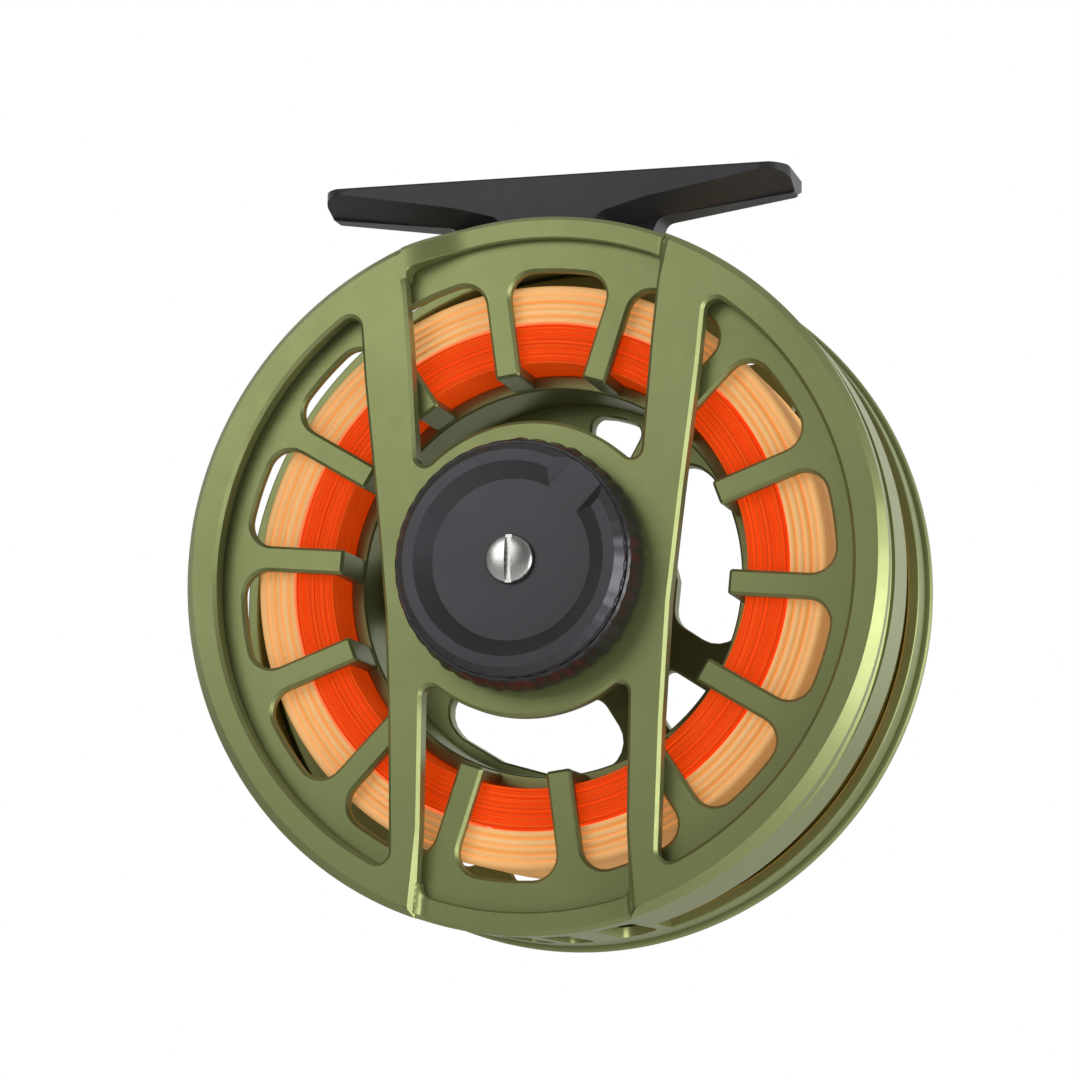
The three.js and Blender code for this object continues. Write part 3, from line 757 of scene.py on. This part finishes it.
# ---- spool -------------------------------------------------------------------------------------
def spoke_angle(index):
    return PHASE + 360 / SPOKES * index


def over_spoke(mesh, index):
    """Moves a mesh from the axle to where the handle or the counterweight stands."""
    x, z = polar(HANDLE_R, spoke_angle(index))
    mesh.transform(Matrix.Translation((x, 0, z)))
    return mesh


def turned_point(point, degrees):
    x, z = point
    turn = math.radians(degrees)
    return (x * math.cos(turn) - z * math.sin(turn), x * math.sin(turn) + z * math.cos(turn))


def window_corner(index, side, circle, radius, inside):
    """Rounding between a spoke's side and the circle that ends a window, from the spoke on."""
    half = SPOKE_W / 2
    reach = circle - radius if inside else circle + radius
    centre = Vector((math.sqrt(reach * reach - (half + radius) ** 2), half + radius))
    corner = blend_arc(centre, radius, (centre.x, half), centre * (circle / reach), 8)
    return [turned_point((x, side * z), spoke_angle(index)) for x, z in corner]


def span_of_circle(first, last, circle, steps=14):
    start = bearing((0, 0), first)
    sweep = (bearing((0, 0), last) - start + 180) % 360 - 180
    return arc((0, 0), circle, start, start + sweep, steps)[1:-1]


def comb():
    """Inner edge of the near flange: out along each spoke, round a window and back in."""
    half = SPOKE_W / 2
    block = [(SPOKE_END, -half), (SPOKE_END, half), (SPOKE_END + 4, half), (SPOKE_END + 4, -half)]
    end = rounded(block, [SPOKE_FILLET, SPOKE_FILLET, 0, 0], 3)[:-2]
    loop = []
    for index in range(SPOKES):
        loop += [turned_point(point, spoke_angle(index)) for point in end]
        rise = window_corner(index, 1, WINDOW_R, FLANGE_FILLET, True)
        fall = window_corner(index + 1, -1, WINDOW_R, FLANGE_FILLET, True)[::-1]
        loop += rise + span_of_circle(rise[-1], fall[0], WINDOW_R) + fall
    return loop


def window(index, radii, outer_fillet, inner_fillet):
    inner, outer = radii
    rise = window_corner(index, 1, outer, outer_fillet, True)
    fall = window_corner(index + 1, -1, outer, outer_fillet, True)[::-1]
    back = window_corner(index + 1, -1, inner, inner_fillet, False)
    home = window_corner(index, 1, inner, inner_fillet, False)[::-1]
    loop = rise + span_of_circle(rise[-1], fall[0], outer) + fall
    loop += back + span_of_circle(back[-1], home[0], inner) + home
    return loop[::-1]


def rib(index):
    """The post under a spoke's end that ties the near flange to the drum."""
    half = SPOKE_W / 2 - 2 * NUDGE
    inner, outer = SPOKE_END + 2 * NUDGE, ARBOR_R[1] - 0.1
    corners = rounded([(inner, -half), (outer, -half), (outer, half), (inner, half)],
                      [0.4, 0.1, 0.1, 0.4], 2)
    flat = [turned_point(point, spoke_angle(index)) for point in corners]
    return plate(flat, [], NEAR_FLANGE[0] + 0.6, DRUM_START + 0.6, 0.05, 0.05, 1)


def web_opening(middle, half, inner, fillet):
    """An opening in the web about a bearing, with its inner edge a little shorter."""
    outside = [polar(WEB_OUTER, middle + half * share) for share in (-1, -0.6, -0.2, 0.2, 0.6, 1)]
    inside = [polar(inner, middle + half * share) for share in (0.82, 0.25, -0.25, -0.82)]
    small = fillet * 0.75
    return rounded(outside + inside, [fillet, 0, 0, 0, 0, fillet, small, 0, 0, small], 6)


def near_flange():
    return plate(round_loop(FLANGE_R, 200), [comb()], *NEAR_FLANGE, SPOKE_BEVEL, 0.2, 1)


def far_flange():
    holes = [window(k, FAR_WINDOW_R, *FAR_FILLETS) for k in range(SPOKES)]
    holes.append(round_loop(ARBOR_R[0] + 0.05, 160))
    return plate(round_loop(FLANGE_R, 200), holes, *FAR_FLANGE, 0.3, 0.3)


def palm_rim():
    (inner, outer), (start, end) = PALM_R, PALM_Y
    shoulder = FLANGE_R - 0.1
    return turned([
        (inner, PALM_ROOT), (shoulder, PALM_ROOT), (shoulder, start), (outer - 0.7, start),
        (outer - 0.25, start + 0.15), (outer, start + 0.5), (outer, (start + end) / 2),
        (outer - 0.15, end - 0.7), (outer - 0.6, end - 0.2), (outer - 1.2, end),
        (inner + 0.4, end), (inner, end - 0.4),
    ], 240)


def web():
    openings = [
        web_opening(middle + 360 / WEB_GROUPS * k, *form)
        for middle, *form in (WEB_WIDE, WEB_NARROW) for k in range(WEB_GROUPS)
    ]
    openings.append(round_loop(WEB_BOSS_R[0], 90))
    return plate(round_loop(ARBOR_R[0] + 0.4, 160), openings, *WEB_Y, 0.4, 0.4)


def build_spool():
    start, end = FAR_FLANGE
    drum = tube(ARBOR_R, (DRUM_START, start + 0.3), 0.35, 200)
    boss = tube(WEB_BOSS_R, WEB_BOSS_Y, 0.3, 96)
    post = over_spoke(tube(POST_R, (start + 0.2, POST_END), 0.25, 48), HANDLE_SPOKE)
    pads = [
        over_spoke(tube((0, PAD_R), (start + 0.1, end + 2 * NUDGE), 0.2, 48), index)
        for index in (HANDLE_SPOKE, WEIGHT_SPOKE)
    ]
    ribs = [rib(k) for k in range(SPOKES)]
    whole = merged([near_flange(), drum, far_flange(), palm_rim(), web(), boss, post] + pads + ribs)
    piece("spool_body_shell", whole, GREEN, "spool_body", ["spool"])


# ---- wound line --------------------------------------------------------------------------------
def strand(bm, radius, y, thickness, sides, steps, wander, chance):
    """One turn of line round the axle, which wanders a little from a true circle."""
    waves = [(chance.randint(1, 7), chance.uniform(0, math.tau)) for _ in range(3)]
    side_waves = [(chance.randint(1, 6), chance.uniform(0, math.tau)) for _ in range(2)]
    rows = []
    for step in range(steps):
        turn = math.tau * step / steps
        out = radius + wander * sum(math.sin(n * turn + p) for n, p in waves) / 3
        along = y + wander * 0.8 * sum(math.sin(n * turn + p) for n, p in side_waves) / 2
        row = []
        for side in range(sides):
            about = math.tau * side / sides
            r = out + thickness / 2 * math.cos(about)
            row.append(bm.verts.new((
                r * math.cos(turn), along + thickness / 2 * math.sin(about), r * math.sin(turn),
            )))
        rows.append(row)
    for row, following in zip(rows, rows[1:] + rows[:1]):
        strip(bm, row, following)


def wound(name, radii, thickness, sides, steps, wander, seed, material, node):
    """Turns of line on both faces, on the outside and on the inside, over a plain core."""
    chance = random.Random(seed)
    bm = bmesh.new()
    inner, outer = radii
    near, far = PACK_Y
    rows = max(2, round((outer - inner) / thickness))
    pitch = (outer - inner) / rows
    for row in range(rows):
        radius = inner + pitch * (row + 0.5)
        for y in (near + thickness / 2, near + thickness * 1.35, far - thickness / 2):
            lift = chance.uniform(0, thickness * 0.25)
            strand(bm, radius, y + (lift if y < far - thickness else -lift), thickness * 1.02,
                   sides, steps, wander, chance)
    columns = round((far - near) / thickness)
    step = (far - near) / columns
    for column in range(1, columns - 1):
        y = near + step * (column + 0.5)
        for radius in (outer - pitch / 2, inner + pitch / 2):
            strand(bm, radius, y, thickness * 1.02, sides, steps, wander * 0.6, chance)
    core = turned([
        (inner + pitch * 0.5, near + thickness), (outer - pitch * 0.5, near + thickness),
        (outer - pitch * 0.5, far - thickness), (inner + pitch * 0.5, far - thickness),
    ], 120)
    bm.from_mesh(core)
    piece(name, finished(bm), material, "spool_body", [node], sharp=80)


# ---- foot --------------------------------------------------------------------------------------
def flank_cut(side, end):
    """What is milled away beside the ridge under one wing. It leaves a rounded scoop."""
    loop = rounded([(end * x, z) for x, z in FLANK_CUT], FLANK_FILLETS, 8)
    width = FOOT_Y[1] - FOOT_Y[0]
    span = (0, width) if side > 0 else (-width, 0)
    cutter = plate(loop if end > 0 else loop[::-1], [], *span, SHARP, SHARP, 1)
    tilt = Matrix.Rotation(math.radians(KEEL_TILT * side), 4, "X")
    lift = Matrix.Translation((0, FOOT_MIDDLE + side * KEEL_HALF, KEEL_PIVOT_Z))
    cutter.transform(lift @ tilt @ Matrix.Translation((0, 0, -KEEL_PIVOT_Z)))
    return cutter


def build_foot():
    half = FOOT_HALF
    (root_x, root_z), (neck_x, neck_z) = FOOT_ROOT, FOOT_NECK
    side = rounded([
        (-half, FOOT_TIP_Z), (-root_x, root_z), (-neck_x, neck_z), (neck_x, neck_z),
        (root_x, root_z), (half, FOOT_TIP_Z), (half, FOOT_TOP), (-half, FOOT_TOP),
    ], [0.5, 1.6, 0, 0, 1.6, 0.5, 0.35, 0.35], 5)
    body = plate(side, [], *FOOT_Y, 0.3, 0.3)
    end, edge = half + NUDGE, (FOOT_Y[1] - FOOT_Y[0]) / 2 + NUDGE
    plan = rounded([(-end, -edge), (end, -edge), (end, edge), (-end, edge)], [FOOT_END_R] * 4, 12)
    top, bottom = FOOT_PLAN_Z
    upright = plate(plan, [], 0, top - bottom, SHARP, SHARP, 1)
    stand = Matrix(((1, 0, 0, 0), (0, 0, 1, FOOT_MIDDLE), (0, -1, 0, top), (0, 0, 0, 1)))
    upright.transform(stand)
    body = combined(body, [upright], "INTERSECT")
    (start, stop), reach = SADDLE_Y, FACE_R[1] + GAP
    saddle = turned([(0, start), (reach, start), (reach, stop), (0, stop)], 240)
    cuts = [flank_cut(across, along) for across in (-1, 1) for along in (-1, 1)] + [saddle]
    for cut in cuts:
        body = combined(body, [cut], "DIFFERENCE")
    piece("rod_foot", body, GREY, "frame_body", ["reel_foot"])


# ---- drag knob ---------------------------------------------------------------------------------
def build_knob():
    start, end = KNOB_Y
    floor_r, edge_r = RECESS_R
    hollow_r, hollow_floor = KNOB_HOLLOW
    chance = random.Random(5)
    wear = [chance.uniform(-0.05, 0.05) for _ in range(GRIP_RIDGES)]

    def profile(degrees):
        """The dial's edge is scalloped very lightly, in step with the grip behind it."""
        ridge = int(degrees * GRIP_RIDGES / 360) % GRIP_RIDGES
        scallop = 0.07 * math.cos(math.radians(degrees * GRIP_RIDGES)) + wear[ridge]
        rim = KNOB_R - DIAL_WEAR + scallop
        return [
            (KNOB_BORE, RECESS_FLOOR), (floor_r, RECESS_FLOOR), (edge_r, start),
            (KNOB_R - KNOB_CHAMFER, start), (rim, start + KNOB_CHAMFER - 0.1), (rim, start + 1.7),
            (KNOB_R, start + 1.8), (KNOB_R, end), (hollow_r, end), (hollow_r, hollow_floor),
            (KNOB_BORE, hollow_floor),
        ]
    body = lathe(profile, spread(0, 360, 360)[:-1])
    half = NOTCH_HALF + NOTCH_SLOPE
    inner, outer = NOTCH_X
    corners = [(inner, -half), (outer, -half), (outer, half), (inner, half)]
    flat = [turned_point(point, NOTCH_ANGLE) for point in corners]
    notch = plate(flat, [], start - PAST, RECESS_FLOOR - 2 * NUDGE, SHARP, NOTCH_SLOPE, 1)
    body = combined(body, [notch], "DIFFERENCE")
    piece("knob_dial", body, KNOB_GREY, "knob_body", ["drag_knob"])


def build_grip():
    """Ridged ring round the knob, wider towards the back and worn unevenly."""
    chance = random.Random(3)
    wear = [chance.uniform(-0.14, 0.1) for _ in range(GRIP_RIDGES)]

    def profile(degrees):
        place_on = degrees * GRIP_RIDGES / 360
        share = place_on % 1
        here, following = wear[int(place_on) % GRIP_RIDGES], wear[int(place_on + 1) % GRIP_RIDGES]
        ridge = abs(math.cos(math.pi * place_on)) ** 0.7
        outer = GRIP_R - 0.3 + 0.3 * ridge + here * (1 - share) + following * share
        inner = KNOB_R + 0.05
        return [
            (inner, GRIP_NEAR), (inner + 0.2, GRIP_NEAR), (inner + 0.4 + 0.1 * ridge, -6.2),
            (outer - 0.5, -4.6), (outer - 0.1, -3.2), (outer - 0.15, -1.8), (outer - 0.6, -0.8),
            (inner, KNOB_Y[1]),
        ]
    ring = lathe(profile, spread(0, 360, 540)[:-1])
    piece("knob_grip", ring, PLASTIC, "knob_body", ["knob_grip_ring"])


def build_knob_screw():
    """A domed head with a slot, on a plain shank."""
    (shank_r, head_r), (edge, dome) = SCREW_R, SCREW_RISE
    seat = RECESS_FLOOR - 0.25
    turns = [math.radians(a) for a in spread(0, 90, 8)]
    crown = [(head_r * math.cos(a), seat - edge - dome * math.sin(a)) for a in turns]
    head = turned([(0, seat), (head_r, seat)] + crown, 64)
    (half, floor), reach = SCREW_SLOT, head_r + 0.8
    across = [(-half, -reach), (half, -reach), (half, reach), (-half, reach)]
    slot = plate(across, [], seat - 4, seat - floor, SHARP, 0.05, 1)
    head = combined(head, [slot], "DIFFERENCE")
    start = seat - 0.1
    shank = turned([(0, start), (shank_r, start), (shank_r, SCREW_TIP), (0, SCREW_TIP)], 32)
    piece("knob_screw_head", merged([head, shank]), STEEL, "knob_body", ["knob_screw"])


# ---- handle side -------------------------------------------------------------------------------
def build_cap():
    """The spool cap, with a groove and a shallow recess in its face."""
    cap = turned(rounded([
        (0, 27.6), (12.2, 27.6), (13, 28.3), (13, 30.2), (11.8, 31.2), (8.5, 31.2), (8.1, 30.8),
        (7.6, 30.8), (7.2, 31.2), (3.4, 31.2), (2.8, 30.7), (0, 30.7),
    ], [0, 0.2, 0.3, 0.5, 0.4, 0.12, 0.12, 0.12, 0.12, 0.2, 0.2, 0], 3), 128)
    piece("cap", cap, GREEN, "spool_body", ["spool_cap"])


def build_weight():
    weight = turned(rounded([
        (0, 28.7), (WEIGHT_R, 28.7), (WEIGHT_R, 31.2), (2.6, 31.2), (2.2, 30.9), (0, 30.9),
    ], [0, 0.1, 0.4, 0.15, 0.15, 0], 3), 64)
    weight = over_spoke(weight, WEIGHT_SPOKE)
    piece("weight", weight, STEEL, "spool_body", ["counterweight"])


def groove(y, r):
    return [(r, y - 0.35), (r - 0.3, y - 0.15), (r - 0.3, y + 0.15), (r, y + 0.35)]


def build_handle():
    """The knob that winds the reel, with grooves round its waist, and the screw it turns on."""
    grip = [(3.2, 32.2), (4.9, 32.2), (5.6, 32.8), (5.95, 35)]
    for y, r in ((37, 5.92), (39, 5.8), (41, 5.7), (43, 5.75), (45, 5.85)):
        grip += groove(y, r)
    grip += [(6.2, 48), (6.6, 50.5), (6.7, 52), (6.55, 53.8), (5.7, 54.8), (3.5, 54.8),
             (3.5, 53.2), (3.2, 53.2)]
    handle = over_spoke(turned(grip, 72), HANDLE_SPOKE)
    piece("handle_grip", handle, PLASTIC, "handle_body", ["handle_knob"])
    pin = turned(rounded([
        (0, 27), (1.5, 27), (1.5, 53.5), (3.0, 53.5), (3.0, 54.6), (1.1, 54.6), (1.1, 54.1),
        (0, 54.1),
    ], [0, 0.1, 0.1, 0.05, 0.3, 0.1, 0.1, 0], 2), 48)
    pin = over_spoke(pin, HANDLE_SPOKE)
    piece("handle_pin", pin, STEEL, "spool_body", ["handle_screw"])


# ---- pieces kept from the CAD model ------------------------------------------------------------
KEPT_BEVEL = 0.15                # millimetres
KEPT = {
    STEEL: [
        "foot_screw_1", "foot_screw_2", "spindle", "spindle_nut", "spindle_screw",
        "housing_screw_1", "housing_screw_2", "housing_screw_3", "push_ring", "push_pin_1",
        "push_pin_2", "push_pin_3", "spring_washer_1", "spring_washer_2", "pressure_plate",
        "drag_rotor", "bearing_rear", "bearing_front", "one_way_clutch", "latch_ring",
    ],
    BRONZE: ["cam_ring", "clutch_sleeve", "handle_bush_1", "handle_bush_2"],
    BLACK: ["drag_housing", "drag_cover"],
    RUBBER: ["drag_seal"],
    CARBON: ["friction_disc_1", "friction_disc_2"],
}


def finish_kept():
    for material, names in KEPT.items():
        for name in names:
            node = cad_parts[name]
            node.data.materials.clear()
            node.data.materials.append(material)
            bevel = node.modifiers.new("edges", "BEVEL")
            bevel.width = KEPT_BEVEL * MM
            bevel.segments = 2
            bevel.limit_method = "ANGLE"
            bevel.angle_limit = math.radians(40)


# ---- studio ------------------------------------------------------------------------------------
# The camera's angles in degrees, its distance in millimetres from what it looks at, and its lens.
VIEW = {"azimuth": 16.28, "elevation": -9.53, "roll": 0.86, "distance": 450, "lens": 111.69}
TARGET = (-0.95, 10.0, 5.33)     # millimetres about the axle
FLOOR_BELOW = 300                # floor under the axle, millimetres
FLOOR_REACH = 5.0                # half the floor's width, metres
FLOOR_STEPS = 8
LIGHTS = [                       # name, direction, distance and size in metres, watts
    ("key", (-0.42, -0.82, 0.38), 0.36, 0.26, 0.40),
    ("side", (1.0, -0.2, -0.1), 0.6, 0.4, 2.8),
]


def place(x, y, z):
    return AXLE + Vector((x, y, z)) * MM


def build_camera():
    azimuth, elevation, roll = (math.radians(VIEW[k]) for k in ("azimuth", "elevation", "roll"))
    back = Vector((
        math.sin(azimuth) * math.cos(elevation), -math.cos(azimuth) * math.cos(elevation),
        math.sin(elevation),
    ))
    right = Vector((math.cos(azimuth), math.sin(azimuth), 0))
    up = back.cross(right)
    tilted = right * math.cos(roll) + up * math.sin(roll)
    up = up * math.cos(roll) - right * math.sin(roll)
    camera = bpy.data.objects.new("camera", bpy.data.cameras.new("camera"))
    camera.data.lens = VIEW["lens"]
    camera.data.sensor_width = 36
    camera.data.clip_start = 0.01
    basis = Matrix((tilted, up, back)).transposed().to_4x4()
    camera.matrix_world = Matrix.Translation(place(*TARGET) + back * VIEW["distance"] * MM) @ basis
    bpy.context.scene.collection.objects.link(camera)
    bpy.context.scene.camera = camera


def area_light(name, direction, distance, size, power):
    data = bpy.data.lights.new(name, "AREA")
    data.shape = "DISK"
    data.size = size
    data.energy = power
    light = bpy.data.objects.new(name, data)
    way = Vector(direction).normalized()
    light.location = AXLE + way * distance
    light.rotation_mode = "QUATERNION"
    light.rotation_quaternion = way.to_track_quat("Z", "Y")
    bpy.context.scene.collection.objects.link(light)


def build_world():
    """A white backdrop to the camera. The light it gives is stronger from behind the reel, so
    that the metal shows its form."""
    world = bpy.data.worlds.new("studio")
    bpy.context.scene.world = world
    world.use_nodes = True
    tree = world.node_tree
    place_node = tree.nodes.new("ShaderNodeTexCoord")
    parts = tree.nodes.new("ShaderNodeSeparateXYZ")
    tree.nodes["Background"].inputs["Color"].default_value = (1, 1, 1, 1)
    ramp = tree.nodes.new("ShaderNodeMapRange")
    for name, value in (("From Min", -0.5), ("From Max", 0.6), ("To Min", 0.18), ("To Max", 1.0)):
        ramp.inputs[name].default_value = value
    tree.links.new(place_node.outputs["Generated"], parts.inputs[0])
    tree.links.new(parts.outputs["Y"], ramp.inputs["Value"])
    seen = tree.nodes.new("ShaderNodeLightPath").outputs["Is Camera Ray"]
    strength = tree.nodes.new("ShaderNodeMath")
    strength.operation = "MAXIMUM"
    tree.links.new(ramp.outputs["Result"], strength.inputs[0])
    tree.links.new(seen, strength.inputs[1])
    tree.links.new(strength.outputs[0], tree.nodes["Background"].inputs["Strength"])


def build_floor():
    level = AXLE.z - FLOOR_BELOW * MM
    bm = bmesh.new()
    places = spread(-FLOOR_REACH, FLOOR_REACH, FLOOR_STEPS)
    rows = [[bm.verts.new((x, y, level)) for y in places] for x in places]
    for row, following in zip(rows, rows[1:]):
        for i in range(len(row) - 1):
            bm.faces.new((row[i], following[i], following[i + 1], row[i + 1]))
    nodes = Nodes("floor")
    nodes.feed(
        Base_Color=nodes.ramp(nodes.noise(6, 4), [(0.3, (0.78, 0.78, 0.78)), (0.7, (0.82,) * 3)]),
        Roughness=nodes.spanned(nodes.noise(40, 3), 0.75, 0.85),
    )
    mesh = finished(bm)
    mesh.materials.append(nodes.material)
    floor = bpy.data.objects.new("floor", mesh)
    bpy.context.scene.collection.objects.link(floor)


build_frame()
build_spool()
wound(
    "backing_turns", BACKING_R, BACKING_D, sides=6, steps=150, wander=0.09, seed=7,
    material=BACKING, node="backing_line",
)
wound(
    "fly_line_turns", FLY_R, FLY_D, sides=12, steps=160, wander=0.07, seed=11,
    material=PEACH, node="fly_line",
)
build_foot()
build_knob()
build_grip()
build_knob_screw()
build_cap()
build_weight()
build_handle()
finish_kept()
build_camera()
build_world()
build_floor()
for light in LIGHTS:
    area_light(*light)
bpy.context.scene.view_settings.view_transform = "Standard"
